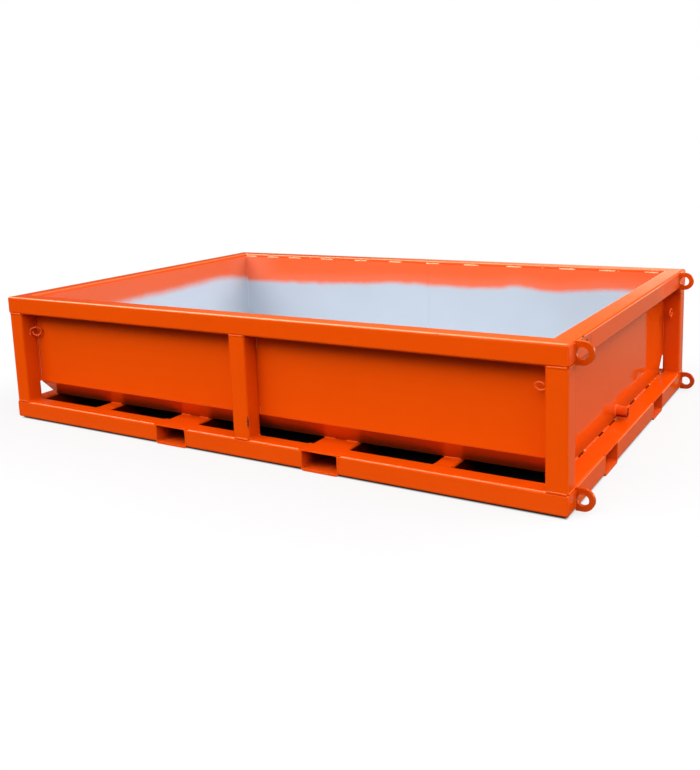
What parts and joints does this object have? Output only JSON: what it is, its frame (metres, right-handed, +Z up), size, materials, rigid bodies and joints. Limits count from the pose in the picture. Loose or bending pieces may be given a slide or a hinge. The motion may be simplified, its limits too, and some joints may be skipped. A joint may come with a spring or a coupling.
{
  "type": "builders skip",
  "caption": "Shallow open steel skip: a folded sheet tub in a welded square-tube frame, with fork pockets through the base, lifting lugs on one end, tarp hooks and a drain socket.",
  "frame": {"origin": "centre of the footprint, on the ground under the fork pockets; the lugs count in the length", "axes": "+X along the length, towards the end with the lifting lugs; +Y from the front long side to the back one; +Z up"},
  "size_m": [3.0722, 2, 0.657],
  "materials": {
    "frame_paint": "glossy orange enamel, sprayed over the bare welds",
    "tub_sheet": "smooth pale blue-grey sheet inside with orange overspray below its rim, glossy orange outside",
    "pocket_paint": "glossy orange enamel, thin inside the pockets",
    "lug_paint": "glossy orange enamel over flame-cut plate",
    "hook_paint": "orange enamel over bent round bar",
    "drain_paint": "orange enamel over pipe socket"
  },
  "bodies": {
    "root": {"top_rail_front": "frame_paint", "top_rail_right": "frame_paint", "top_rail_back": "frame_paint", "top_rail_left": "frame_paint", "bottom_rail_front_left": "frame_paint", "bottom_rail_front_centre": "frame_paint", "bottom_rail_front_right": "frame_paint", "bottom_rail_back_right": "frame_paint", "bottom_rail_back_centre": "frame_paint", "bottom_rail_back_left": "frame_paint", "bottom_rail_right_front": "frame_paint", "bottom_rail_right_centre": "frame_paint", "bottom_rail_right_back": "frame_paint", "bottom_rail_left_back": "frame_paint", "bottom_rail_left_centre": "frame_paint", "bottom_rail_left_front": "frame_paint", "corner_post_front_left": "frame_paint", "corner_post_front_right": "frame_paint", "corner_post_back_left": "frame_paint", "corner_post_back_right": "frame_paint", "mid_post_front": "frame_paint", "mid_post_back": "frame_paint", "cross_member_left": "frame_paint", "cross_member_right": "frame_paint", "fork_pocket_left": "pocket_paint", "fork_pocket_right": "pocket_paint", "end_pocket_left_front": "pocket_paint", "end_pocket_left_back": "pocket_paint", "end_pocket_right_front": "pocket_paint", "end_pocket_right_back": "pocket_paint", "tub_sheet_left": "tub_sheet", "tub_sheet_right": "tub_sheet", "tub_end_left": "tub_sheet", "tub_end_right": "tub_sheet", "drain_socket": "drain_paint", "lug_top_front": "lug_paint", "lug_bottom_front": "lug_paint", "lug_top_back": "lug_paint", "lug_bottom_back": "lug_paint", "tarp_hook_front_left": "hook_paint", "tarp_hook_front_right": "hook_paint", "tarp_hook_right_front": "hook_paint", "tarp_hook_right_back": "hook_paint", "tarp_hook_back_right": "hook_paint", "tarp_hook_back_left": "hook_paint", "tarp_hook_left_back": "hook_paint", "tarp_hook_left_front": "hook_paint"}
  },
  "joints": []
}
